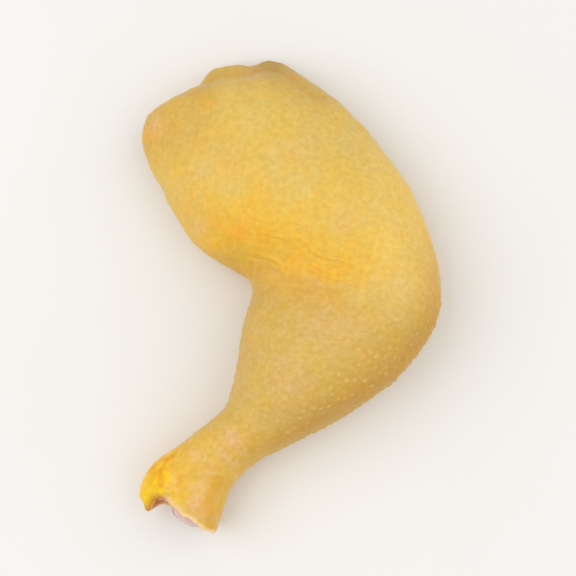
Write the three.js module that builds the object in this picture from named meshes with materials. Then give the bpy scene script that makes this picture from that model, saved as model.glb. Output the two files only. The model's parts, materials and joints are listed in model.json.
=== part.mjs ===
// A raw chicken leg quarter: thigh and drumstick in one piece, lying skin side up on Z = 0, with the
// cut end of the shank bone showing in the open collar of skin at the hock.
// Millimetres. +Y runs from the hock to the hip, +X points to the front of the knee, +Z is up.
import * as THREE from "three";

// Driving dimensions
const SKIN_THICKNESS = 1.8; // of the collar round the shank bone
const LIP_ROUNDING = 0.7; // how far the collar's lip bulges past its two faces
const LIP_REACH = 1.8; // stations over which the lip's shape fades into the leg
const COLLAR_DEPTH = 12; // from the hock's cut plane to the floor of the collar
const SINEW_DEPTH = 4; // from the hock's cut plane to the front of the sinew
const EDGE_DIP = 1.7; // depth of the dip in the thigh's far edge
const EDGE_DIP_WIDTH = 0.42; // as a share of half the edge
const EDGE_REACH = 3; // stations over which the dip fades into the thigh
const PIECE_GAP = 0.3; // between two pieces that touch
const SECTION_FULLNESS = 2.15; // 2 makes each section an ellipse, and more squares it up
const LEAN = 0.12; // how far each section's crown leans to the front
const POINTS_ROUND = 48; // of every ring
const RINGS_PER_STATION = 4;

// The leg's outline from above as pairs of points, one at the back of the leg (calf, hollow of the knee,
// back of the thigh) and one at the front (shin, knee, front of the thigh), each [x, y, height of the
// widest line]. crown and sole are the section's highest and lowest points. A sole below 0 is pressed
// flat by the table.
const STATIONS = [
  { back: [-50.3, -77.2, 12], front: [-25.7, -85, 11], crown: 23.5, sole: 0.8 }, // cut hock
  { back: [-52.6, -71.5, 12], front: [-23, -77.5, 12], crown: 25.5, sole: -0.6 }, // hock pad
  { back: [-48.8, -62.6, 12], front: [-19.8, -67.8, 12.5], crown: 26, sole: 0.2 }, // ankle
  { back: [-38, -54, 13], front: [-9.5, -59, 13.5], crown: 27.5, sole: 0.8 },
  { back: [-22.5, -42.4, 15], front: [13.5, -47.5, 16], crown: 35, sole: -1.5 },
  { back: [-20, -37, 15.5], front: [26.5, -39.5, 17], crown: 39.5, sole: -3 },
  { back: [-18, -26.5, 15.5], front: [39, -30.5, 18], crown: 42.5, sole: -4 }, // calf
  { back: [-15.9, -11, 13.5], front: [51, -13.5, 18], crown: 44, sole: -4 }, // knee
  { back: [-13.4, 2.5, 11], front: [53.1, 2, 17], crown: 42.5, sole: -4 }, // hollow of the knee
  { back: [-19.5, 7, 10], front: [51, 14, 16.5], crown: 41.5, sole: -4 },
  { back: [-31.5, 14.5, 9.5], front: [46.6, 26.5, 16], crown: 41, sole: -4 },
  { back: [-39.2, 25, 9], front: [40.3, 38.9, 15.5], crown: 40, sole: -4 }, // thigh
  { back: [-51.3, 49, 8.5], front: [21.5, 63.5, 14], crown: 36, sole: -4 },
  { back: [-52.8, 57, 8.5], front: [13, 71, 12.5], crown: 33, sole: -3.5 },
  { back: [-50.5, 64.2, 8], front: [9, 74.2, 11], crown: 29.5, sole: -3 }, // hip
  { back: [-43.5, 68.9, 7.5], front: [6.6, 76, 9.5], crown: 26, sole: -2.4 },
  { back: [-32.8, 74.4, 6.5], front: [2.8, 79.6, 7], crown: 18.5, sole: -1 },
  { back: [-31, 78.2, 6], front: [0.6, 81.8, 6], crown: 14.5, sole: -0.2 }, // folded edge of the skin
  { back: [-27.8, 81.6, 5.5], front: [-2.4, 83.8, 5.5], crown: 11, sole: 0.8 },
  { back: [-22.8, 83.4, 5], front: [-6.4, 85.1, 5], crown: 8, sole: 2.2 },
];

// Muscles and hollows that stand out of the smooth sections, seen from above
const SWELLS = [
  { x: 4, y: 38, radius: 20, height: 1.6 }, // thigh muscle
  { x: 4, y: -26, radius: 15, height: 1.6 }, // calf muscle
  { x: 40, y: -6, radius: 9, height: 1.2 }, // kneecap
  { x: -9, y: 4, radius: 9, height: -4.2 }, // hollow of the knee
  { x: 12, y: 1, radius: 11, height: -2.2 }, // its valley across the leg
  { x: -36, y: 58, radius: 9, height: 1.4 }, // end of the hip
  { x: -14, y: 70, radius: 9, height: -1.4 }, // dip towards the far edge
];

// How far the collar's ragged lip is cut back from the hock's plane, as pairs of [across, cut], where
// across runs from -1 at the back of the leg to 1 at the front
const LIP_ABOVE = [
  [-1, 0],
  [-0.9, 3.2],
  [-0.74, 6],
  [-0.5, 5.9],
  [-0.05, 3.3],
  [0.3, 2.4],
  [0.6, 0.7],
  [1, 0],
];
const LIP_BELOW = [
  [-1, 0],
  [-0.85, 1.8],
  [-0.7, 3.5],
  [-0.4, 2.8],
  [0, 1.2],
  [0.4, 0.4],
  [1, 0],
];

// The shank bone's line from its cut end to the knee, and its half width and half height along it
const BONE_LINE = [
  [-36.9, -81.9, 12],
  [-23.4, -57, 13.6],
  [1, -28, 17.5],
  [24.5, -1, 21],
];
const BONE_SECTIONS = [
  { at: 0.8, wide: 4.4, high: 3.6 },
  { at: 2.6, wide: 6.6, high: 5.4 },
  { at: 5.5, wide: 7.4, high: 6.2 },
  { at: 9, wide: 6.9, high: 5.8 },
  { at: 12, wide: 5.8, high: 5.1 },
  { at: 16, wide: 4.9, high: 4.5 },
  { at: 24, wide: 4.1, high: 4 },
  { at: 40, wide: 3.8, high: 3.8 },
  { at: 64, wide: 4, high: 4 },
  { at: 80, wide: 5.6, high: 5.2 },
  { at: 90, wide: 8.4, high: 7.4 },
  { at: 97, wide: 9.2, high: 8.2 },
  { at: 101, wide: 7, high: 6.4 },
];
const CONDYLE_GROOVE = 0.24; // share of the bone's height lost between its two knuckles
const CONDYLE_LENGTH = 12; // how far the groove between them runs up the bone

const UP = new THREE.Vector3(0, 0, 1);
const LAST_STATION = STATIONS.length - 1;
const ROUND = Array.from({ length: POINTS_ROUND }, (_, k) => (2 * Math.PI * k) / POINTS_ROUND);

const curveOf = (points) =>
  new THREE.CatmullRomCurve3(points.map((p) => new THREE.Vector3(...p)), false, "centripetal");
const backEdge = curveOf(STATIONS.map((s) => s.back));
const frontEdge = curveOf(STATIONS.map((s) => s.front));
const heights = curveOf(STATIONS.map((s, i) => [s.crown, s.sole, i]));
const boneLine = curveOf(BONE_LINE);
const boneSizes = curveOf(BONE_SECTIONS.map((s) => [s.at, s.wide, s.high]));
const lipAbove = curveOf(LIP_ABOVE.map(([across, cut]) => [across, cut, 0]));
const lipBelow = curveOf(LIP_BELOW.map(([across, cut]) => [across, cut, 0]));

// The point of a curve whose x rises all along it where x has the given value
function pointAtX(curve, x) {
  let low = 0;
  let high = 1;
  for (let step = 0; step < 24; step++) {
    const middle = (low + high) / 2;
    if (curve.getPoint(middle).x < x) low = middle;
    else high = middle;
  }
  return curve.getPoint(low);
}

const power = (value, fullness) => Math.sign(value) * Math.abs(value) ** (2 / fullness);
const bell = (distance, radius) => Math.exp(-((distance / radius) ** 2));

// The relief of the muscles at a point seen from above
function swellAt(x, y) {
  return SWELLS.reduce((sum, s) => sum + s.height * bell(Math.hypot(x - s.x, y - s.y), s.radius), 0);
}

// A point of the leg before its ends are cut: station counts along STATIONS, and angle runs from the front
// over the crown
function legPoint(station, angle) {
  const share = station / LAST_STATION;
  const back = backEdge.getPoint(share);
  const front = frontEdge.getPoint(share);
  const { x: crown, y: sole } = heights.getPoint(share);
  const across = power(Math.cos(angle), SECTION_FULLNESS);
  const rise = power(Math.sin(angle), SECTION_FULLNESS);
  const leaning = across + LEAN * Math.max(0, rise) * (1 - across ** 2);
  const point = back.clone().lerp(front, (leaning + 1) / 2);
  const widest = point.z;
  if (rise > 0) point.z += (crown + swellAt(point.x, point.y) - widest) * rise;
  else point.z += (widest - sole) * rise;
  point.z = Math.max(0, point.z);
  return point;
}

// The level direction into the leg, square to the line between a station's two points
function inwardAt(station, towards) {
  const chord = new THREE.Vector3(...station.front).sub(new THREE.Vector3(...station.back)).setZ(0);
  return UP.clone().cross(chord).multiplyScalar(towards).normalize();
}
const hock = STATIONS[0];
const intoHock = inwardAt(hock, 1);
const intoThigh = inwardAt(STATIONS[LAST_STATION], -1);
const hockMiddle = curveOf([hock.back, hock.front]).getPoint(0.5).setZ((hock.crown + hock.sole) / 2);

function lipCut(angle) {
  const across = Math.cos(angle);
  return pointAtX(Math.sin(angle) > 0 ? lipAbove : lipBelow, across).y;
}

// A point of the leg's skin, with the hock's lip and the dip in the far edge
function skinPoint(station, angle) {
  const atHock = Math.max(0, 1 - station / LIP_REACH);
  const atEdge = Math.max(0, 1 - (LAST_STATION - station) / EDGE_REACH);
  return legPoint(station, angle)
    .addScaledVector(intoHock, atHock * lipCut(angle))
    .addScaledVector(intoThigh, atEdge * EDGE_DIP * bell(Math.cos(angle), EDGE_DIP_WIDTH));
}

// A point of the collar, wall millimetres in from the outer skin and depth millimetres into the leg
function collarPoint(angle, wall, depth) {
  const point = legPoint(0, angle);
  const inward = hockMiddle.clone().sub(point).setLength(wall);
  return point.add(inward).addScaledVector(intoHock, depth);
}

// One ring of the shank bone, grown by gap, at a distance from its cut end
function boneRing(distance, gap) {
  const line = distance / boneLine.getLength();
  const centre = boneLine.getPointAt(line);
  const tangent = boneLine.getTangentAt(line);
  const side = tangent.clone().cross(UP).normalize();
  const above = side.clone().cross(tangent);
  const { y: wide, z: high } = pointAtX(boneSizes, distance);
  const groove = CONDYLE_GROOVE * bell(distance, CONDYLE_LENGTH);
  return ROUND.map((angle) => {
    const grooved = high * (1 - groove * bell(Math.cos(angle), 0.45));
    return centre
      .clone()
      .addScaledVector(side, Math.cos(angle) * (wide + gap))
      .addScaledVector(above, Math.sin(angle) * (grooved + gap));
  });
}

// The closed surface through rings of points, with a pole past the first and the last ring, or without
// poles as a loop from the last ring back to the first
function surfaceThrough(rings, { firstPole, lastPole } = {}) {
  const points = rings.flat();
  const faces = [];
  const at = (ring, k) => (ring % rings.length) * POINTS_ROUND + (k % POINTS_ROUND);
  const rows = firstPole ? rings.length - 1 : rings.length;
  for (let ring = 0; ring < rows; ring++) {
    for (let k = 0; k < POINTS_ROUND; k++) {
      const [a, b, c, d] = [at(ring, k), at(ring, k + 1), at(ring + 1, k + 1), at(ring + 1, k)];
      const firstCut = points[a].distanceTo(points[c]) <= points[b].distanceTo(points[d]);
      faces.push(...(firstCut ? [a, b, c, a, c, d] : [a, b, d, b, c, d]));
    }
  }
  if (firstPole) {
    points.push(firstPole, lastPole);
    for (let k = 0; k < POINTS_ROUND; k++) {
      faces.push(points.length - 2, at(0, k + 1), at(0, k));
      faces.push(points.length - 1, at(rings.length - 1, k), at(rings.length - 1, k + 1));
    }
  }
  const geometry = new THREE.BufferGeometry().setFromPoints(points).setIndex(faces);
  geometry.computeVertexNormals();
  return geometry;
}

const boneSteps = BONE_SECTIONS.map((s) => s.at);
const boneTip = boneLine.getPointAt(0);
const boneKnee = boneLine.getPointAt(1);

// Skin and meat in one solid: down the outside from the thigh's far edge to the hock, over the collar's
// lip, along its inner wall to its floor, and up the hole that holds the bone
function legGeometry() {
  const rings = [];
  for (let step = LAST_STATION * RINGS_PER_STATION; step >= 0; step--) {
    rings.push(ROUND.map((angle) => skinPoint(step / RINGS_PER_STATION, angle)));
  }
  const crownAndSole = [POINTS_ROUND / 4, (3 * POINTS_ROUND) / 4].map((k) => rings[0][k]);
  const farPole = crownAndSole[0].clone().lerp(crownAndSole[1], 0.5);
  rings.push(ROUND.map((angle) => collarPoint(angle, SKIN_THICKNESS / 2, lipCut(angle) - LIP_ROUNDING)));
  for (const share of [0, 0.3, 0.65, 1]) {
    const depth = (angle) => THREE.MathUtils.lerp(lipCut(angle), COLLAR_DEPTH, share);
    rings.push(ROUND.map((angle) => collarPoint(angle, SKIN_THICKNESS, depth(angle))));
  }
  for (const distance of boneSteps.filter((at) => at > COLLAR_DEPTH)) {
    rings.push(boneRing(distance, PIECE_GAP));
  }
  const holeEnd = boneKnee.clone().addScaledVector(boneLine.getTangentAt(1), PIECE_GAP);
  return surfaceThrough(rings, { firstPole: farPole, lastPole: holeEnd });
}

// Pink sinew that fills the collar round the bone, open in the middle for it
function sinewGeometry() {
  const floor = COLLAR_DEPTH - PIECE_GAP;
  const front = (angle) => SINEW_DEPTH + 0.6 * lipCut(angle);
  const outer = [1, 0.5, 0].map((share) =>
    ROUND.map((angle) =>
      collarPoint(angle, SKIN_THICKNESS + PIECE_GAP, THREE.MathUtils.lerp(front(angle), floor, share)),
    ),
  );
  const inner = boneSteps.filter((at) => at > SINEW_DEPTH && at <= COLLAR_DEPTH);
  return surfaceThrough([...outer, ...inner.map((distance) => boneRing(distance, PIECE_GAP))]);
}

function boneGeometry() {
  return surfaceThrough(boneSteps.map((distance) => boneRing(distance, 0)).reverse(), {
    firstPole: boneKnee,
    lastPole: boneTip,
  });
}

const skin = new THREE.MeshStandardMaterial({ color: 0xe8bb60, roughness: 0.5, metalness: 0 });
const sinew = new THREE.MeshStandardMaterial({ color: 0xd99a86, roughness: 0.4, metalness: 0 });
const bone = new THREE.MeshStandardMaterial({ color: 0xe6d9d6, roughness: 0.35, metalness: 0 });

function piece(name, geometry, material) {
  const mesh = new THREE.Mesh(geometry, material);
  mesh.name = name;
  return mesh;
}

const leg = new THREE.Group();
leg.add(
  piece("skin_covered_meat", legGeometry(), skin),
  piece("hock_sinew", sinewGeometry(), sinew),
  piece("shank_bone", boneGeometry(), bone),
);

// The origin is on the table under the middle of the leg's box
const middle = new THREE.Box3().setFromObject(leg).getCenter(new THREE.Vector3());
leg.position.set(-middle.x, -middle.y, 0);

export default leg;
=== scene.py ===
"""The looks of a raw chicken leg quarter: bumpy yellow skin over the whole leg, and the cut shank bone with
its pink sinew in the collar of skin at the hock. Places and relief are worked out in millimetres, in the
frame's axes: +Y from the hock to the hip, +X to the front of the knee, +Z up. The pieces themselves are in
metres."""

import json
import math
from itertools import product

import bmesh
import bpy
import numpy as np
from mathutils import Matrix, Vector, noise
from mathutils.kdtree import KDTree

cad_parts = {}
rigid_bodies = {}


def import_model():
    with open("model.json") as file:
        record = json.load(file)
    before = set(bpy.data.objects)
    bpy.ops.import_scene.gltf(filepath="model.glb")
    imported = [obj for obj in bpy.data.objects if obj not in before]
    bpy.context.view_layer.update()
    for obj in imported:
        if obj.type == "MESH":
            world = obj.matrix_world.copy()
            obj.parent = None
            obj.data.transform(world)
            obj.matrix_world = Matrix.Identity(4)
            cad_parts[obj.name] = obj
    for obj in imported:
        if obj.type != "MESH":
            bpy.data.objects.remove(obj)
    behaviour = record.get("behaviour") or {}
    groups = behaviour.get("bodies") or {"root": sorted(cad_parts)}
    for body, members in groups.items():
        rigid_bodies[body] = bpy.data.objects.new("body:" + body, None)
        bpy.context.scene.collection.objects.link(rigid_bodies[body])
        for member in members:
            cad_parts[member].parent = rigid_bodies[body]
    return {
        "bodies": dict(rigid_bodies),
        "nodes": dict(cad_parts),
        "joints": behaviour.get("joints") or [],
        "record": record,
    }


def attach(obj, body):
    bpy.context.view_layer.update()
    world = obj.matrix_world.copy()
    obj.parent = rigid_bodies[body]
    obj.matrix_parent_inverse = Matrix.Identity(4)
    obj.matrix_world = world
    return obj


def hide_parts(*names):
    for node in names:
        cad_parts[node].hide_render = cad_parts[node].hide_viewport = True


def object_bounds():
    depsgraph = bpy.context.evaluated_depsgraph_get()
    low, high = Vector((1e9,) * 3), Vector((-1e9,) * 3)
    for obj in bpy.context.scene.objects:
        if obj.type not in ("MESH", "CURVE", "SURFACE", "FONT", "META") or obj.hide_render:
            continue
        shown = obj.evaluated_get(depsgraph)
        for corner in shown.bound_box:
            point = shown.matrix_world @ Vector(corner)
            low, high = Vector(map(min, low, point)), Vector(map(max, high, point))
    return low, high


MM = 0.001
SEED = 7

# The meshes
WELD = 0.01  # points nearer to each other than this become one
SKIN_GRID = 0.69  # size of the skin's faces
SMOOTH_ROUNDS = 5

# Follicles: the bumps of the plucked skin
BUMP_RADIUS = 1.1
BUMP_RADIUS_SPREAD = (0.75, 1.2)
BUMP_TALLNESS_SPREAD = (0.25, 1.2)
BUMP_SPACING_SHANK = 2.5
BUMP_SPACING_THIGH = 3.6
BUMP_HEIGHT_SHANK = 0.4
BUMP_HEIGHT_THIGH = 0.12
BUMP_CELL = 2  # side of the cells that a bump's points are looked up in
CELLS_AROUND = list(product((-1, 0, 1), repeat=3))

# Uneven skin everywhere
LUMP_HEIGHT = 0.9
SMALL_LUMP_HEIGHT = 0.35
WRINKLE_DEPTH = 0.75
FINE_HEIGHT = 0.09
SAG_DEPTH = 0.9

# The hock's cut plane: a point in the middle of the mouth, and the level directions into the leg and across
MOUTH = np.array([-38.2, -81.0, 12.2])
INTO_LEG = np.array([0.302, 0.953, 0.0])
ACROSS_HOCK = np.array([0.953, -0.302, 0.0])
COLLAR_DEPTH = 12.0
COLLAR_RADIUS = 13.5
LIP_REACH = 2.4  # how far from the cut edge the lip's unevenness fades away
LIP_WAVE = 0.8

# In the cut plane, from the middle of the mouth: the dark vein across the bone, and the tendons round it,
# each with its angle, its distance from the middle and its radius
VEIN = [(-3.0, 2.9), (0.4, 0.9), (4.0, -2.0)]
VEIN_WIDTH = 0.55
TENDON_RISE = 0.8
TENDONS = [
    (8, 6.9, 1.2), (47, 7.2, 1.5), (78, 6.6, 0.8), (118, 7.0, 1.3), (171, 6.8, 0.9),
    (200, 7.3, 1.5), (243, 6.6, 1.1), (262, 7.6, 0.8), (301, 7.0, 1.6),
]

# On the collar: painted shadow along the inner edge of its hook, and painted shade, orange like light
# through the skin, down the hock's right edge to its other tip
HOOK_SHADOW_LINE = [(-49.6, -77.0), (-47.8, -75.4), (-46.8, -73.6), (-44.6, -72.4), (-42.4, -72.6)]
HOOK_SHADOW_WIDTH = 1.6
HOCK_EDGE_SHADE_LINE = [(-23.0, -67.0), (-26.4, -72.8), (-26.2, -78.1), (-27.0, -82.5)]
HOCK_EDGE_SHADE_WIDTH = 2.0

# The fold where the thigh's skin lies over the drumstick's, seen from above, how wide the turn from one skin
# to the other is along it, and the ripples behind it
FOLD_X = [-30, -17, -13.5, -11, -7, -2, 5, 12, 18, 24, 29, 33, 40, 48, 60]
FOLD_Y = [-12, -2, 3.5, 9.5, 7.8, 4.4, 2.0, 0.2, -0.5, -0.6, 2, 5, 10, 13, 15]
TURN_X = [-12, 0, 10, 30, 50]
TURN_WIDTH = [8, 5, 3.5, 8, 15]
FOLD_HEIGHT = 0.38
FOLD_DEPTH = 0.26
RIPPLE_PERIOD = 2.0
RIPPLE_HEIGHT = 0.32

# The turned edge of the skin along the far end of the thigh
FAR_EDGE = [
    (-33.7, 72.0), (-31.6, 76.9), (-27.5, 80.9), (-21.0, 82.3), (-14.9, 80.7), (-7.9, 83.4), (-1.8, 81.2),
    (5.4, 74.0), (10.5, 69.9),
]
HEM_WIDTH = 3.6
HEM_HEIGHT = 0.3
HEM_CREASE_DEPTH = 0.32

# Short furrows in the skin, each from one point to another with a depth
FURROW_WIDTH = 0.7
FURROWS = [
    ((-12.5, 3.1), (-11.6, 8.8), 0.22),
    ((-16.9, 72.3), (-16.2, 67.4), 0.35),
    ((-31.7, 74.4), (-25.5, 76.2), 0.3),
    ((-25.5, 76.2), (-19.0, 78.5), 0.3),
    ((-8.6, 79.0), (-3.8, 77.6), 0.3),
    ((-1.6, 74.9), (3.9, 72.5), 0.35),
    ((-31.6, 56.2), (-31.3, 52.1), 0.3),
    ((-49.5, 58.4), (-48.6, 50.4), 0.45),
    ((-4.5, 49.4), (-4.5, 46.6), 0.25),
    ((-37.6, 39.0), (-26.6, 36.9), 0.2),
    ((-19.8, 29.3), (-16.7, 34.2), 0.2),
    ((18.3, 26.6), (20.5, 31.5), 0.2),
    ((13.5, 18.3), (15.6, 22.4), 0.2),
]

# Spots of another colour, each with its place seen from above, its radius and its strength
ORANGE_SPOTS_AND_SHADOW = [
    (-28.0, 64.0, 2.6, 0.5), (-16.5, 18.0, 4.5, 0.75), (-24.0, 21.7, 3.0, 0.5), (-7.9, 14.8, 3.0, 0.6),
    (3.1, 7.9, 3.0, 0.5), (10.0, 4.5, 2.4, 0.6), (1.7, 43.1, 4.0, 0.3), (-49.0, 54.9, 1.8, 0.8),
    # the spot at (0.6, 73.6) is painted shadow at the gap beside the thigh's far right corner; the others
    # are the skin's own orange
    (0.6, 73.6, 2.4, 0.4), (-25.5, -70.0, 1.8, 0.4), (-18.0, 40.0, 5.0, 0.25), (-33.5, 28.5, 7.0, 0.35),
    (-32.0, -60.4, 2.2, 0.35), (-24.8, -66.0, 2.4, 0.3),
]
YELLOW_SPOTS = [
    (-3.6, 52.0, 5.0, 0.9), (-9.0, 47.0, 4.0, 0.6), (15.5, 56.5, 4.5, 0.7), (17.5, 38.0, 5.5, 0.7),
    (-22.0, 56.0, 4.0, 0.5), (-34.0, 44.0, 4.0, 0.5), (-36.0, -60.0, 5.0, 0.9), (-25.5, -53.0, 3.0, 0.6),
]
PINK_SPOTS = [
    (-46.3, 56.9, 3.0, 0.8), (-12.0, 76.0, 4.0, 0.4), (-31.1, 21.1, 2.5, 0.6), (-31.3, 38.3, 3.0, 0.4),
    (19.7, 20.4, 4.0, 0.35), (-18.6, -52.2, 3.4, 1.0), (-20.8, -59.5, 2.6, 0.6), (-26.5, -62.0, 3.0, 0.5),
    (-30.4, -75.5, 3.6, 1.0), (17.6, -14.2, 9.0, 0.3), (-1.1, -32.8, 8.0, 0.3), (-32.0, -56.5, 2.2, 0.6),
]

# Studio: each lamp's place and size in metres and its power, then the light from all round
FLOOR_SIZE = 6
WINDOW = ((-0.6, 0.0, 0.9), 1.0, 4.2)
FILL = ((0.75, 0.05, 0.75), 1.2, 3.2)
WORLD_STRENGTH = 0.74

# Camera: its lens, how far it leans from straight above, in degrees, and how many legs high its view is
LENS = 85
LEAN_TO_KNEE = 3
LEAN_TO_HOCK = 6
VIEW_HEIGHT = 1.12


# ---------------------------------------------------------------- numbers

def rise(value, low, high):
    """0 below low, 1 above high, and a smooth turn between them."""
    share = np.clip((value - low) / (high - low), 0.0, 1.0)
    return share * share * (3 - 2 * share)


def fall(value, low, high):
    """1 below low, 0 above high, and a smooth turn between them."""
    return 1 - rise(value, low, high)


def band(value, start, full, fading, end):
    """1 from full to fading, and 0 before start and after end."""
    return rise(value, start, full) * fall(value, fading, end)


def bell(distance, radius):
    """1 at no distance, and next to 0 from twice the radius on."""
    return np.exp(-((distance / radius) ** 2))


def between(share, first, second):
    """The first number where the share is 0, and the second where it is 1."""
    return first + (second - first) * share


def noise_at(points, size, seed):
    """Smooth noise from -1 to 1 whose lumps are about size millimetres across."""
    shift = Vector((seed * 13.7, seed * 7.3, seed * 3.1))
    return np.array([noise.noise(Vector(p) / size + shift) for p in points])


def layered_noise(points, size, seed):
    """Smooth noise with a second layer on it, half as large and half as strong."""
    return (noise_at(points, size, seed) + noise_at(points, size / 2, seed + 1) / 2) / 1.5


# ---------------------------------------------------------------- meshes

def welded_copy(node, name):
    """A copy of a CAD node's mesh as joined quads."""
    mesh = node.data.copy()
    mesh.name = name
    work = bmesh.new()
    work.from_mesh(mesh)
    bmesh.ops.remove_doubles(work, verts=work.verts, dist=WELD * MM)
    bmesh.ops.join_triangles(
        work, faces=work.faces, angle_face_threshold=math.radians(60), angle_shape_threshold=math.radians(60)
    )
    bmesh.ops.recalc_face_normals(work, faces=work.faces)
    work.to_mesh(mesh)
    work.free()
    mesh.materials.clear()
    for attribute in [a.name for a in mesh.attributes if a.name.startswith("custom")]:
        mesh.attributes.remove(mesh.attributes[attribute])
    piece = bpy.data.objects.new(name, mesh)
    bpy.context.scene.collection.objects.link(piece)
    return piece


def apply_modifiers(piece):
    graph = bpy.context.evaluated_depsgraph_get()
    finished = bpy.data.meshes.new_from_object(piece.evaluated_get(graph))
    piece.modifiers.clear()
    piece.data = finished
    piece.data.shade_smooth()


def subdivide(piece, levels):
    modifier = piece.modifiers.new("round", "SUBSURF")
    modifier.levels = levels
    modifier.render_levels = levels
    apply_modifiers(piece)


def even_grid(piece, size):
    """Gives the piece faces of one size, and smooths away their steps."""
    modifier = piece.modifiers.new("grid", "REMESH")
    modifier.mode = "VOXEL"
    modifier.voxel_size = size * MM
    apply_modifiers(piece)
    modifier = piece.modifiers.new("calm", "SMOOTH")
    modifier.factor = 0.5
    modifier.iterations = SMOOTH_ROUNDS
    apply_modifiers(piece)


def points_and_normals(piece):
    """The piece's points in millimetres and their normals."""
    mesh = piece.data
    points = np.empty(len(mesh.vertices) * 3)
    mesh.vertices.foreach_get("co", points)
    normals = np.empty(len(mesh.vertices) * 3)
    mesh.vertices.foreach_get("normal", normals)
    return points.reshape(-1, 3) / MM, normals.reshape(-1, 3)


def dress(piece, points, masks, material):
    """Moves the piece's points, keeps each mask's numbers at them, and gives the piece its material."""
    piece.data.vertices.foreach_set("co", (points * MM).ravel())
    piece.data.update()
    for name, values in masks.items():
        layer = piece.data.attributes.new(name, "FLOAT", "POINT")
        layer.data.foreach_set("value", np.ascontiguousarray(values, dtype=np.float32))
    piece.data.materials.append(material)


# ---------------------------------------------------------------- where on the leg

def fold_line(x):
    """The Y of the fold where the thigh's skin lies over the drumstick's."""
    return np.interp(x, FOLD_X, FOLD_Y)


def shank_share(points):
    """1 on the drumstick, 0 on the thigh, turning at the fold between them."""
    x, y = points[:, 0], points[:, 1]
    width = np.interp(x, TURN_X, TURN_WIDTH)
    beyond = y - fold_line(x) + 0.7 * width * noise_at(points, 9, 67)
    return fall(beyond / width, -1.5, 0.7)


def hock_depth(points):
    """How far each point is from the hock's cut plane, towards the knee."""
    return (points - MOUTH) @ INTO_LEG


def on_cut_plane(points):
    """Each point's place on the hock's cut plane: across it and up, from the middle of the mouth."""
    return np.stack([(points - MOUTH) @ ACROSS_HOCK, points[:, 2] - MOUTH[2]], axis=1)


def inside_collar(points, normals):
    """1 on the collar's inner wall and floor, and in the hole for the bone."""
    depth = hock_depth(points)
    outward = points - MOUTH - np.outer(depth, INTO_LEG)
    radius = np.linalg.norm(outward, axis=1)
    facing_in = -np.einsum("ij,ij->i", normals, outward / (radius[:, None] + 1e-9))
    near_mouth = fall(depth, COLLAR_DEPTH + 0.5, COLLAR_DEPTH + 2.5)
    return near_mouth * fall(radius, COLLAR_RADIUS, COLLAR_RADIUS + 1.5) * rise(facing_in, -0.3, 0.35)


def far_from_line(points, line):
    """Each point's distance, seen from above, to a line of points."""
    flat = points[:, :2]
    best = np.full(len(flat), np.inf)
    for start, end in zip(line[:-1], line[1:]):
        a = np.array(start)
        along = np.array(end) - a
        share = np.clip(((flat - a) @ along) / (along @ along), 0, 1)
        best = np.minimum(best, np.linalg.norm(flat - a - np.outer(share, along), axis=1))
    return best


# ---------------------------------------------------------------- the skin's bumps

def around(cells, home):
    """What is kept in the cell at home and in the 26 cells next to it."""
    x, y, z = home
    return [i for dx, dy, dz in CELLS_AROUND for i in cells.get((x + dx, y + dy, z + dz), ())]


def scatter(points, spacing, rng):
    """Picks points so that no two are closer than the spacing there."""
    side = spacing.max()
    cells = {}
    chosen = []
    for i in rng.permutation(len(points)):
        home = tuple((points[i] // side).astype(int))
        if all(np.sum((points[i] - points[j]) ** 2) > spacing[i] ** 2 for j in around(cells, home)):
            cells.setdefault(home, []).append(i)
            chosen.append(i)
    return chosen


def raise_bumps(points, centres, rng):
    """Each point's share of a bump, and the bumps' relief before they are scaled to their place."""
    homes = [tuple(home) for home in (points // BUMP_CELL).astype(int)]
    cells = {}
    for i, home in enumerate(homes):
        cells.setdefault(home, []).append(i)
    share = np.zeros(len(points))
    relief = np.zeros(len(points))
    for centre in centres:
        radius = BUMP_RADIUS * rng.uniform(*BUMP_RADIUS_SPREAD)
        tallness = rng.uniform(*BUMP_TALLNESS_SPREAD)
        near = np.array(around(cells, homes[centre]))
        distance = np.linalg.norm(points[near] - points[centre], axis=1)
        profile = np.clip(1 - (distance / radius) ** 2, 0, 1) ** 1.5
        share[near] = np.maximum(share[near], profile * min(tallness, 1))
        relief[near] = np.maximum(relief[near], profile * tallness)
    return share, relief


def follicles(points, normals, open_skin, shank):
    """The height of the skin's bumps, each point's share of the painted highlight on their tops, and the
    painted shade on the skin between the bumps where they are strongest, along the front of the drumstick."""
    rng = np.random.default_rng(SEED)
    candidates = np.flatnonzero(open_skin > 0.5)
    spacing = between(shank[candidates], BUMP_SPACING_THIGH, BUMP_SPACING_SHANK)
    centres = candidates[scatter(points[candidates], spacing, rng)]
    share, relief = raise_bumps(points, centres, rng)

    x, y = points[:, 0], points[:, 1]
    front = rise(0.75 * x - 0.66 * y, 0, 32)
    rim = rise(0.6 * x - 0.8 * y, 26, 46)
    past_ankle = rise(hock_depth(points), 20, 34)
    seen = rise(normals[:, 2], 0.0, 0.55)
    size = between(shank * (0.3 + 0.85 * front), BUMP_HEIGHT_THIGH, BUMP_HEIGHT_SHANK)
    # the share now weights the painted highlight on the bumps' tops, weaker where they face away from above;
    # the skin between them gets painted shade
    share *= open_skin * (0.4 + 0.2 * front + 0.4 * rim) * past_ankle * (0.3 + 0.7 * seen)
    shaded_ground = rim * shank * past_ankle * seen * (1 - share)
    return relief * size * open_skin * past_ankle, share, shaded_ground


# ---------------------------------------------------------------- the skin's folds

def ripples(points, beyond):
    """Slanting ripples in the thigh's skin, from -1 to 1, where a point lies just beyond the fold."""
    x, y = points[:, 0], points[:, 1]
    slant = 0.9 * y + 0.43 * x + 2.0 * noise_at(points, 10, 5)
    along = 0.9 * x - 0.43 * y
    broken = rise(noise_at(np.stack([0.45 * along, 1.3 * slant, 0 * x], axis=1), 5, 7), -0.25, 0.25)
    reach = band(beyond, -0.5, 1.5, 7, 17) * band(x, -20, -10, 24, 34)
    return np.sin(2 * np.pi * slant / RIPPLE_PERIOD) * broken * reach


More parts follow.
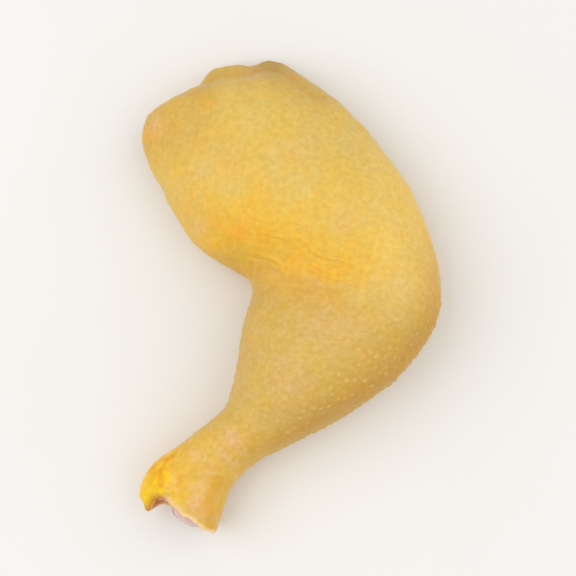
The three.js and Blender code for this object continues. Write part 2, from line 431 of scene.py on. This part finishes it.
def fold_relief(points):
    """The soft fold of the thigh's skin over the drumstick's, the painted shade in its crease and in the
    troughs of its ripples, and the crests of its ripples.
    """
    x, y = points[:, 0], points[:, 1]
    beyond = y - fold_line(x) + 1.6 * noise_at(points, 7, 3)
    there = band(x, -11, -4, 20, 32)
    roll = FOLD_HEIGHT * bell(beyond - 1.4, 2.2) - FOLD_DEPTH * bell(beyond + 1.4, 1.5)
    strands = ripples(points, beyond)
    crease = 0.25 * there * bell(beyond + 1.2, 1.3) + 0.4 * np.clip(-strands, 0, 1) ** 2
    return there * roll + RIPPLE_HEIGHT * strands, crease, np.clip(strands, 0, 1)


def hem_relief(points):
    """The turned edge of the skin along the far end, and the broken crease behind it, which also gets
    painted shade.
    """
    distance = far_from_line(points, FAR_EDGE) + 1.3 * noise_at(points, 8, 8)
    there = rise(noise_at(points, 9, 13), -0.5, 0.1)
    crease = there * bell(distance - HEM_WIDTH, 1.3)
    return HEM_HEIGHT * bell(distance - 0.5, 2.6) - HEM_CREASE_DEPTH * crease, crease


def furrow_relief(points):
    """Short furrows, each with a low bank on both sides."""
    total = np.zeros(len(points))
    wobble = 0.5 * noise_at(points, 3, 19)
    for start, end, depth in FURROWS:
        distance = np.abs(far_from_line(points, [start, end]) + wobble)
        total += depth * (0.5 * bell(distance - 1.3, 0.8) - bell(distance, FURROW_WIDTH))
    return total


def sag_relief(points, normals):
    """Soft upright folds low on the thigh's sides, where its skin hangs towards what it lies on."""
    low = fall(points[:, 2], 14, 24) * fall(normals[:, 2], 0.2, 0.7)
    folds = 0.5 - np.abs(layered_noise(points * [1.0, 1.0, 0.45], 9, 81))
    return SAG_DEPTH * folds * low * rise(points[:, 1], 8, 30)


def uneven_relief(points, shank):
    """Lumps, wrinkles and fine grain all over the skin, with weaker wrinkles on the drumstick."""
    lumps = LUMP_HEIGHT * layered_noise(points, 26, 11) + SMALL_LUMP_HEIGHT * layered_noise(points, 9, 17)
    wrinkles = WRINKLE_DEPTH * (0.5 - np.abs(layered_noise(points * [1.3, 0.8, 1.0], 4, 23))) ** 2
    return lumps + wrinkles * (1 - 0.55 * shank) + FINE_HEIGHT * noise_at(points, 1.6, 29)


def lip_of_collar(points, normals):
    """1 on the cut edge of the skin round the hock's mouth, and how near to that edge every point is."""
    depth = hock_depth(points)
    edge = rise(-(normals @ INTO_LEG), 0.3, 0.75) * fall(depth, 7, 9)
    found = np.flatnonzero(edge > 0.6)
    tree = KDTree(len(found))
    for i in found:
        tree.insert(Vector(points[i]), int(i))
    tree.balance()
    near = np.zeros(len(points))
    for i in np.flatnonzero(depth < COLLAR_DEPTH + 3):
        distance = tree.find(Vector(points[i]))[2]
        near[i] = bell(distance, LIP_REACH)
    return edge, near


def skin_relief(points, normals):
    """How far the skin moves at each point, in millimetres, and the masks its material uses."""
    inside = inside_collar(points, normals)
    off_table = rise(points[:, 2], 0.4, 3.0)
    edge, near_lip = lip_of_collar(points, normals)
    open_skin = (1 - inside) * off_table * (1 - edge)
    shank = shank_share(points)
    above = rise(normals[:, 2], -0.2, 0.4)

    bumps, bump_highlight, shaded_ground = follicles(points, normals, open_skin, shank)
    folds, fold_crease_shade, strands = fold_relief(points)
    hem, hem_crease_shade = hem_relief(points)
    relief = bumps + uneven_relief(points, shank) + sag_relief(points, normals)
    relief += (folds + hem + furrow_relief(points)) * above
    lining = (0.3 * noise_at(points, 3, 33) + 0.12 * noise_at(points, 1.5, 35)) * inside * (1 - near_lip)
    shift = normals * (relief * open_skin + lining)[:, None]
    shift += np.outer(LIP_WAVE * near_lip * noise_at(points, 3.2, 31) * off_table, INTO_LEG)
    return shift, {
        # painted highlight on the bumps' tops, and painted shade on the skin between them
        "bump": bump_highlight,
        "shaded_ground": shaded_ground,
        # painted shade in the creases of the fold and the hem, and in the ripples' troughs
        "crease": np.clip(fold_crease_shade + 0.5 * hem_crease_shade, 0, 1) * above,
        "strand": strands * above,
        # the collar's inner wall: partly its own brown, partly painted shade that deepens away from the lip
        "inside": inside * (1 - edge),
        # the cut edge's cream colour, partly a painted highlight on its rounded rim
        "lip": np.maximum(edge, rise(near_lip, 0.78, 0.96)),
        "lit_wall_near_lip": rise(near_lip, 0.4, 0.95),
        "shank": shank,
    }


# ---------------------------------------------------------------- where the skin changes colour, and where light and shade are painted on it

def spots(points, places):
    """The spots' strength at each point, on the skin that is seen from above."""
    total = np.zeros(len(points))
    for x, y, radius, strength in places:
        total = np.maximum(total, strength * bell(np.hypot(points[:, 0] - x, points[:, 1] - y), radius))
    return total * rise(points[:, 2], 3, 8)


def hock_masks(points):
    """The orange back of the hock with its yellow hook, the painted shadow along the hook's inner edge, and
    the painted shade down the hock's right edge.
    """
    depth = hock_depth(points)
    across = (points - MOUTH) @ ACROSS_HOCK + 3.0 * noise_at(points, 6, 63)
    orange = fall(across, -8.5, -4) * fall(depth, 19, 28)
    margin = 0.35 * fall(across, -3, 3) * fall(depth, 16, 24)
    return {
        "hock": np.maximum(orange, margin),
        "ankle": fall(depth, 22, 44),
        "yellow_hook": fall(depth + 2.0 * noise_at(points, 4, 75), 8, 12),
        # painted shadow along the hook's inner edge
        "hook_edge_shadow": bell(far_from_line(points, HOOK_SHADOW_LINE), HOOK_SHADOW_WIDTH),
        # painted shade down the hock's right edge, orange like light through the skin
        "hock_edge_shade": bell(far_from_line(points, HOCK_EDGE_SHADE_LINE), HOCK_EDGE_SHADE_WIDTH),
    }


def fat_mask(points, beyond):
    """The golden fat under the thigh's skin beyond the fold, deepest towards the hollow of the knee."""
    x, y = points[:, 0], points[:, 1]
    across_patch = rise(x, -40, -24) * fall(x + 4 * noise_at(points, 10, 64), 20, 36)
    patch = across_patch * rise(beyond, -1, 1.5) * fall(beyond + 0.25 * x, 9, 32)
    low_corner = bell(np.hypot(x + 18, y - 20), 14)
    return np.clip(patch + 0.5 * low_corner, 0, 1) * rise(y, -6, 2)


def colour_masks(points, normals):
    """Where the skin has another colour than elsewhere, and where light and shade are painted on it, from 0
    to 1.
    """
    x, y = points[:, 0], points[:, 1]
    beyond = y - fold_line(x) + 2.5 * noise_at(points, 8, 61)
    ragged = np.stack([noise_at(points, 3, 71), noise_at(points, 3, 73), 0 * x], axis=1)
    upright = rise(normals[:, 2], -0.3, 0.4) * fall(normals[:, 2], 0.25, 0.85)
    near_far_edge = bell(far_from_line(points, FAR_EDGE), 10)
    return {
        "fat": fat_mask(points, beyond),
        # painted shade: darker orange just below the fold, under the thigh's overhanging skin
        "shade_under_fold": bell(beyond + 4, 6) * band(x, -16, -6, 14, 26),
        "orange_spot_and_shadow": spots(points + 0.9 * ragged, ORANGE_SPOTS_AND_SHADOW),
        "yellow_spot": spots(points + 1.5 * ragged, YELLOW_SPOTS),
        "pink_spot": spots(points + 0.9 * ragged, PINK_SPOTS),
        # a greyer tone over the top of the thigh, partly painted shade that dims the lamps' highlight there
        "greyer_shaded_top": bell(np.hypot((x - 4) * 0.8, y - 54), 27) * rise(y, 24, 36),
        # painted light: a lighter band down the thigh's right side, where its slope turns from the lamps
        "painted_light_side": rise(x, 22, 38) * band(y, -22, 0, 40, 58),
        # painted shade: darker where the thigh's far end slopes away
        "far": near_far_edge * rise(x, -36, -28) * (0.4 + 0.6 * bell(x + 7, 8)),
        # painted shade on the drumstick's steep sides, towards the front
        "side": upright * shank_share(points) * rise(x, -22, 12),
        "ochre": fall(x + 0.35 * (y - 60), -34, -14) * rise(y, 36, 54),
        # an olive tint in the crook of the knee, darkened there as painted shade
        "olive_and_crook_shade": bell(np.hypot((x + 19.5) / 1.4, y - 9.5), 5),
        **hock_masks(points),
    }


# ---------------------------------------------------------------- shader nodes

def put(tree, socket, value):
    """Gives an input a number or a colour, or another node's output."""
    if isinstance(value, bpy.types.NodeSocket):
        tree.links.new(value, socket)
    else:
        socket.default_value = value


def add(tree, kind, inputs=None, **settings):
    """One shader node. An input is a number, a colour or another node's output."""
    made = tree.nodes.new("ShaderNode" + kind)
    for name, value in settings.items():
        setattr(made, name, value)
    for name, value in (inputs or {}).items():
        put(tree, made.inputs[name], value)
    return made


def mix(tree, share, first, second, blend="MIX"):
    """A colour between first and second."""
    made = tree.nodes.new("ShaderNodeMix")
    made.data_type = "RGBA"
    made.blend_type = blend
    for socket, value in ((0, share), (6, first), (7, second)):
        put(tree, made.inputs[socket], value)
    return made.outputs[2]


def layered(tree, colour, layers):
    """Lays other colours over a colour, each with its share, in their order."""
    for share, layer in layers:
        colour = mix(tree, share, colour, layer)
    return colour


def calc(tree, operation, *values):
    """A sum done by the shader on numbers or other nodes' outputs."""
    made = tree.nodes.new("ShaderNodeMath")
    made.operation = operation
    for socket, value in zip(made.inputs, values):
        put(tree, socket, value)
    return made.outputs[0]


def some(tree, mask, amount, base=0.0):
    """The mask times amount, on top of base."""
    return calc(tree, "MULTIPLY_ADD", mask, amount, base)


def both(tree, first, second):
    return calc(tree, "MULTIPLY", first, second)


def stored(tree, name):
    """The numbers that the piece keeps at its points under this name."""
    return add(tree, "Attribute", attribute_name=name).outputs["Fac"]


def some_stored(tree, name, amount):
    return some(tree, stored(tree, name), amount)


def ramp(tree, value, **ends):
    """The value stretched from one range to another."""
    ends = {name.replace("_", " ").title(): end for name, end in ends.items()}
    return add(tree, "MapRange", {"Value": value, **ends}).outputs["Result"]


def grain(tree, place, size, detail, low=0.35, high=0.65):
    """Noise whose lumps are size millimetres across, stretched so that low to high becomes 0 to 1."""
    made = add(tree, "TexNoise", {"Vector": place, "Scale": 1 / (size * MM), "Detail": detail})
    return ramp(tree, made.outputs["Fac"], from_min=low, from_max=high)


def stretched(tree, place, sizes):
    return add(tree, "Mapping", {"Vector": place, "Scale": sizes}).outputs["Vector"]


def new_material(name):
    """A material with its node tree, its shader, and the place on the piece that its noises start from."""
    material = bpy.data.materials.new(name)
    material.use_nodes = True
    tree = material.node_tree
    tree.nodes.clear()
    shader = add(tree, "BsdfPrincipled")
    out = add(tree, "OutputMaterial")
    tree.links.new(shader.outputs[0], out.inputs["Surface"])
    place = add(tree, "TexCoord").outputs["Object"]
    return material, tree, shader, place


def surface(tree, shader, colour, rough, height, strength, distance):
    """Gives a material its colour, its roughness and its finest relief, distance millimetres high."""
    bump = add(tree, "Bump", {"Height": height, "Strength": strength, "Distance": distance * MM})
    put(tree, shader.inputs["Base Color"], colour)
    put(tree, shader.inputs["Roughness"], rough)
    put(tree, shader.inputs["Normal"], bump.outputs["Normal"])


def translucent(shader, weight, radius, scale):
    """Lets light into the surface. The radius is how far each colour goes, in scale millimetres."""
    shader.inputs["Subsurface Weight"].default_value = weight
    shader.inputs["Subsurface Radius"].default_value = radius
    shader.inputs["Subsurface Scale"].default_value = scale * MM


def to_linear(value):
    """One channel from 0 to 255 on screen, as the shader's linear value."""
    share = value / 255
    return share / 12.92 if share <= 0.04045 else ((share + 0.055) / 1.055) ** 2.4


def rgb(red, green, blue):
    """A colour given as 0 to 255 on screen, in the shader's linear values."""
    return (to_linear(red), to_linear(green), to_linear(blue), 1.0)


# ---------------------------------------------------------------- the skin's material

def skin_grains(tree, place):
    """The noises of the skin, from coarse to fine, then its upright and level streaks."""
    return {
        "blotch": grain(tree, place, 13, 2),
        "cloud": grain(tree, place, 7, 2),
        "patch": grain(tree, place, 4.5, 3),
        "mottle": grain(tree, place, 1.9, 3),
        "speck": grain(tree, place, 0.9, 2),
        "upright": grain(tree, stretched(tree, place, (1.7, 0.55, 1)), 1.6, 2, 0.42, 0.7),
        "level": grain(tree, stretched(tree, place, (0.6, 2.2, 1)), 1.9, 2, 0.42, 0.7),
    }


def plain_skin(tree, grains):
    """The skin of the thigh, the drumstick and the ankle, without what stands out from it, with painted
    light down the thigh's right side, painted shade on the drumstick's sides and between its bumps, and a
    greyer, partly shaded top of the thigh.
    """
    patch = grains["patch"]
    thigh = layered(tree, mix(tree, grains["blotch"], rgb(222, 187, 86), rgb(228, 188, 70)), [
        (some(tree, patch, 0.6), rgb(226, 195, 104)),
        (some_stored(tree, "ochre", 0.7), rgb(208, 162, 60)),
        # greyer top of the thigh, partly painted shade against the lamps' highlight
        (some_stored(tree, "greyer_shaded_top", 0.6), rgb(212, 186, 106)),
        (some(tree, grains["upright"], 0.3), rgb(236, 184, 88)),
    ])
    shank = layered(tree, mix(tree, grains["blotch"], rgb(211, 177, 78), rgb(211, 173, 86)), [
        (some(tree, patch, 0.55), rgb(217, 180, 106)),
        (some(tree, grains["level"], 0.25), rgb(200, 158, 74)),
    ])
    pale = ramp(tree, patch, from_min=0.45, from_max=0.9)
    ankle = mix(tree, some(tree, pale, 0.7), rgb(227, 182, 60), rgb(233, 193, 122))
    return layered(tree, mix(tree, stored(tree, "shank"), thigh, shank), [
        # painted light down the thigh's right side
        (some_stored(tree, "painted_light_side", 0.5), rgb(238, 200, 106)),
        (some_stored(tree, "ankle", 0.8), ankle),
        # painted shade on the drumstick's steep sides
        (some_stored(tree, "side", 0.65), rgb(192, 134, 4)),
        # painted shade on the skin between the bumps
        (some_stored(tree, "shaded_ground", 0.45), rgb(192, 140, 20)),
    ])


def with_patches(tree, colour, grains):
    """The fat that shines through, the fold, the spots with one painted shadow among them, and painted shade
    below the fold, at the far edge, in the crook and down the hock's edge, laid over the plain skin.
    """
    patch, mottle, upright = grains["patch"], grains["mottle"], grains["upright"]

    def uneven(name, noise_mask, amount, base=0.0):
        return both(tree, stored(tree, name), some(tree, noise_mask, amount, base))

    return layered(tree, colour, [
        (uneven("fat", patch, 0.5, 0.5), rgb(231, 184, 42)),
        (uneven("fat", upright, 0.5), rgb(236, 168, 44)),
        (some_stored(tree, "strand", 0.65), rgb(246, 194, 46)),
        # painted shade below the fold
        (some_stored(tree, "shade_under_fold", 0.6), rgb(222, 170, 60)),
        # painted shade where the thigh's far end slopes away
        (some_stored(tree, "far", 0.95), rgb(178, 138, 46)),
        # olive tint with painted shade in the crook
        (some_stored(tree, "olive_and_crook_shade", 0.5), rgb(198, 162, 56)),
        (uneven("yellow_spot", patch, 0.5, 0.3), rgb(228, 184, 60)),
        # orange spots of the skin, one of them a painted shadow
        (uneven("orange_spot_and_shadow", mottle, 0.5, 0.3), rgb(240, 158, 30)),
        (uneven("pink_spot", mottle, 0.5, 0.4), rgb(230, 180, 132)),
        # painted shade down the hock's right edge
        (uneven("hock_edge_shade", mottle, 0.4, 0.45), rgb(220, 164, 44)),
    ])


def with_hock(tree, colour, grains):
    """The orange back of the hock, with the yellow hook and the painted shadow along its inner edge."""
    hock = mix(tree, grains["patch"], rgb(229, 148, 0), rgb(246, 200, 0))
    hock = mix(tree, some_stored(tree, "yellow_hook", 0.75), hock, rgb(248, 208, 14))
    return layered(tree, colour, [
        (stored(tree, "hock"), hock),
        # painted shadow along the hook's inner edge
        (some_stored(tree, "hook_edge_shadow", 0.75), rgb(182, 90, 4)),
    ])


def with_mottling(tree, colour, grains, not_orange):
    """Painted highlight on the bumps' tops, painted shade in the creases, and the light and dark mottling
    over all of the skin.
    """
    # painted highlight on the bumps' tops
    tip_highlight = calc(tree, "POWER", stored(tree, "bump"), 1.7)
    tip_highlight = both(tree, tip_highlight, some(tree, stored(tree, "shank"), 0.4, 0.1))
    colour = mix(tree, both(tree, tip_highlight, not_orange), colour, rgb(240, 206, 124))
    # painted shade in the creases
    colour = mix(tree, some_stored(tree, "crease", 0.5), colour, rgb(196, 130, 44))
    light = mix(tree, grains["mottle"], (0.945, 0.925, 0.83, 1), (1.045, 1.07, 1.15, 1))
    colour = mix(tree, 1.0, colour, light, "MULTIPLY")
    tint = mix(tree, grains["cloud"], (1.025, 0.985, 0.84, 1), (0.975, 1.0, 1.14, 1))
    colour = mix(tree, 1.0, colour, tint, "MULTIPLY")
    return mix(tree, some(tree, grains["speck"], 0.1), colour, rgb(220, 158, 66))


def with_collar(tree, colour, grains, not_orange):
    """The collar's inside, brown partly of its own and partly with painted shade that deepens further in,
    paler near its lip, and the pale cut edge, partly a painted highlight on its rounded rim.
    """
    inner = mix(tree, grains["patch"], rgb(176, 88, 24), rgb(214, 140, 66))
    inner = mix(tree, stored(tree, "lit_wall_near_lip"), inner, rgb(236, 192, 130))
    return layered(tree, colour, [
        # brown inner wall, partly painted shade deeper in
        (stored(tree, "inside"), inner),
        # pale cut edge, partly a painted highlight on its rounded rim
        (both(tree, some_stored(tree, "lip", 0.85), not_orange), rgb(250, 214, 160)),
    ])


def skin_height(tree, place, grains):
    """The skin's finest relief: pores, mottling, and streaks that turn level on the drumstick."""
    pores = add(tree, "TexVoronoi", {"Vector": place, "Scale": 1 / (1.0 * MM)}, feature="SMOOTH_F1")
    rough = calc(tree, "ADD", some(tree, pores.outputs["Distance"], 0.5), some(tree, grains["mottle"], 0.8))
    level = both(tree, grains["level"], stored(tree, "shank"))
    return calc(tree, "ADD", rough, calc(tree, "ADD", level, some(tree, grains["upright"], 0.5)))


def skin_material():
    """Moist yellow skin with a thin wet coat."""
    material, tree, shader, place = new_material("raw_skin")
    grains = skin_grains(tree, place)
    not_orange = calc(tree, "SUBTRACT", 1.0, stored(tree, "hock"))
    colour = plain_skin(tree, grains)
    colour = with_patches(tree, colour, grains)
    colour = with_hock(tree, colour, grains)
    colour = with_mottling(tree, colour, grains, not_orange)
    colour = with_collar(tree, colour, grains, not_orange)
    rough = ramp(tree, grains["mottle"], to_min=0.45, to_max=0.6)
    surface(tree, shader, colour, rough, skin_height(tree, place, grains), 0.45, 0.15)
    translucent(shader, 0.14, (1.0, 0.5, 0.2), 1.6)
    shader.inputs["Specular IOR Level"].default_value = 0.3
    shader.inputs["Coat Weight"].default_value = 0.08
    shader.inputs["Coat Roughness"].default_value = 0.25
    return material


# ---------------------------------------------------------------- the other materials

def sinew_material():
    """Cut ends of tendons, cream to pink, in darker flesh."""
    material, tree, shader, place = new_material("raw_sinew")
    streak = grain(tree, place, 1.2, 3)
    blotch = grain(tree, place, 3.5, 2)
    colour = layered(tree, mix(tree, stored(tree, "tone"), rgb(206, 136, 118), rgb(226, 186, 150)), [
        (some(tree, streak, 0.4), rgb(226, 178, 160)),
        (some(tree, blotch, 0.35), rgb(190, 104, 86)),
        (stored(tree, "slit"), rgb(132, 50, 36)),
    ])
    surface(tree, shader, colour, ramp(tree, streak, to_min=0.25, to_max=0.42), streak, 0.5, 0.2)
    translucent(shader, 0.25, (1.0, 0.35, 0.25), 1.5)
    return material


def bone_material():
    """Pale cartilage with grey and pink clouds, and dark blood in its vein."""
    material, tree, shader, place = new_material("raw_bone")
    cloud = grain(tree, place, 4, 3)
    speck = grain(tree, place, 2.2, 3, 0.5, 0.75)
    veil = grain(tree, place, 1.3, 3, 0.4, 0.7)
    colour = layered(tree, mix(tree, cloud, rgb(212, 182, 174), rgb(234, 212, 198)), [
        (some(tree, veil, 0.35), rgb(194, 168, 166)),
        (some(tree, speck, 0.3), rgb(210, 136, 124)),
        (stored(tree, "blood"), rgb(156, 52, 44)),
    ])
    surface(tree, shader, colour, ramp(tree, cloud, to_min=0.25, to_max=0.4), cloud, 0.3, 0.2)
    translucent(shader, 0.2, (1.0, 0.7, 0.6), 1.5)
    return material


# ---------------------------------------------------------------- pieces

def make_skin(frame):
    """The skin over the whole leg, with the collar at the hock. No point of it goes below the table."""
    piece = welded_copy(frame["nodes"]["skin_covered_meat"], "leg_skin")
    subdivide(piece, 2)
    even_grid(piece, SKIN_GRID)
    points, normals = points_and_normals(piece)
    shift, masks = skin_relief(points, normals)
    masks.update(colour_masks(points, normals))
    points = points + shift
    points[:, 2] = np.maximum(points[:, 2], 0)
    dress(piece, points, masks, skin_material())
    return piece


def tendon_ends(points):
    """1 on the cut ends of the tendons, and the dark ring round each of them."""
    flat = on_cut_plane(points)
    flat += 0.6 * np.stack([noise_at(points, 2.2, 41), noise_at(points, 2.2, 42)], axis=1)
    uneven = 0.5 + 0.5 * noise_at(points, 2.5, 44)
    ends = np.zeros(len(points))
    rings = np.zeros(len(points))
    for angle, reach, radius in TENDONS:
        middle = reach * np.array([math.cos(math.radians(angle)), math.sin(math.radians(angle))])
        share = np.linalg.norm(flat - middle, axis=1) / radius
        ends = np.maximum(ends, fall(share, 0.6, 1.05))
        rings = np.maximum(rings, bell(share - 1.15, 0.2) * uneven)
    return ends, rings


def make_sinew(frame):
    """The flesh round the bone, with the cut ends of its tendons standing out from the collar's floor."""
    piece = welded_copy(frame["nodes"]["hock_sinew"], "pink_sinew")
    subdivide(piece, 3)
    points, normals = points_and_normals(piece)
    front = rise(-(normals @ INTO_LEG), 0.1, 0.7)
    tone, slit = tendon_ends(points)
    slit = np.maximum(slit, rise(noise_at(points, 3.0, 45), 0.3, 0.55)) * (1 - tone) * front
    fibres = 0.35 * noise_at(points * [2.0, 0.7, 2.0], 2.4, 46) + 0.12 * noise_at(points, 1.2, 43)
    relief = TENDON_RISE * np.sqrt(tone) - 0.5 * slit + fibres * (1 - 0.6 * tone)
    points = points + normals * (relief * front)[:, None]
    dress(piece, points, {"slit": slit * 0.75, "tone": tone * front}, sinew_material())
    return piece


def make_bone(frame):
    """The bone, with its cartilage uneven at the cut end and a dark vein across it."""
    piece = welded_copy(frame["nodes"]["shank_bone"], "cut_bone")
    subdivide(piece, 2)
    points, normals = points_and_normals(piece)
    tip = fall(hock_depth(points), 2, 9)
    flat = on_cut_plane(points) + 0.25 * noise_at(points, 3, 55)[:, None]
    vein = bell(far_from_line(flat, VEIN), VEIN_WIDTH) * rise(-(normals @ INTO_LEG), 0.2, 0.6)
    lumps = 0.4 * noise_at(points, 3.5, 51) + 0.15 * noise_at(points, 1.4, 53) - 0.12 * vein
    bruises = 0.35 * rise(noise_at(points, 4.5, 57), 0.2, 0.5)
    points = points + normals * (lumps * tip)[:, None]
    dress(piece, points, {"blood": np.maximum(0.85 * vein, bruises) * tip}, bone_material())
    return piece


# ---------------------------------------------------------------- studio

def make_floor():
    bpy.ops.mesh.primitive_plane_add(size=FLOOR_SIZE)
    floor = bpy.context.object
    floor.name = "floor"
    material, tree, shader, place = new_material("pale_floor")
    cloud = grain(tree, place, 150, 2)
    put(tree, shader.inputs["Base Color"], mix(tree, cloud, rgb(234, 232, 229), rgb(236, 234, 231)))
    shader.inputs["Roughness"].default_value = 0.7
    floor.data.materials.append(material)


def make_light(name, place, size, power):
    """A square lamp that shines at the leg."""
    lamp = bpy.data.lights.new(name, "AREA")
    lamp.size = size
    lamp.energy = power
    holder = bpy.data.objects.new(name, lamp)
    holder.location = place
    holder.rotation_euler = (-Vector(place)).to_track_quat("-Z", "Y").to_euler()
    bpy.context.scene.collection.objects.link(holder)


def make_studio():
    make_floor()
    make_light("window", *WINDOW)
    make_light("fill", *FILL)
    world = bpy.data.worlds.new("studio")
    world.use_nodes = True
    world.node_tree.nodes["Background"].inputs["Color"].default_value = (1, 1, 1, 1)
    world.node_tree.nodes["Background"].inputs["Strength"].default_value = WORLD_STRENGTH
    bpy.context.scene.world = world
    bpy.context.scene.view_settings.view_transform = "Standard"


def make_camera(bounds):
    """Nearly straight above, as the photograph is taken, a little to the knee's side and the hock's side."""
    low, high = (Vector(corner) for corner in bounds)
    lens = bpy.data.cameras.new("camera")
    lens.lens = LENS
    camera = bpy.data.objects.new("camera", lens)
    lean = (math.tan(math.radians(LEAN_TO_KNEE)), -math.tan(math.radians(LEAN_TO_HOCK)), 1)
    back = Vector(lean).normalized()
    right = Vector((0, 1, 0)).cross(back).normalized()
    distance = VIEW_HEIGHT * (high - low).y * lens.lens / lens.sensor_width + high.z / 2
    camera.matrix_world = Matrix((right, back.cross(right), back)).transposed().to_4x4()
    camera.location = (low + high) / 2 + back * distance
    bpy.context.scene.collection.objects.link(camera)
    bpy.context.scene.camera = camera


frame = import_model()
cad_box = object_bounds()
make_camera(cad_box)
make_studio()
for make, node, slot in (
    (make_skin, "skin_covered_meat", "skin"),
    (make_sinew, "hock_sinew", "sinew"),
    (make_bone, "shank_bone", "bone"),
):
    piece = make(frame)
    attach(piece, "root")
    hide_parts(node)
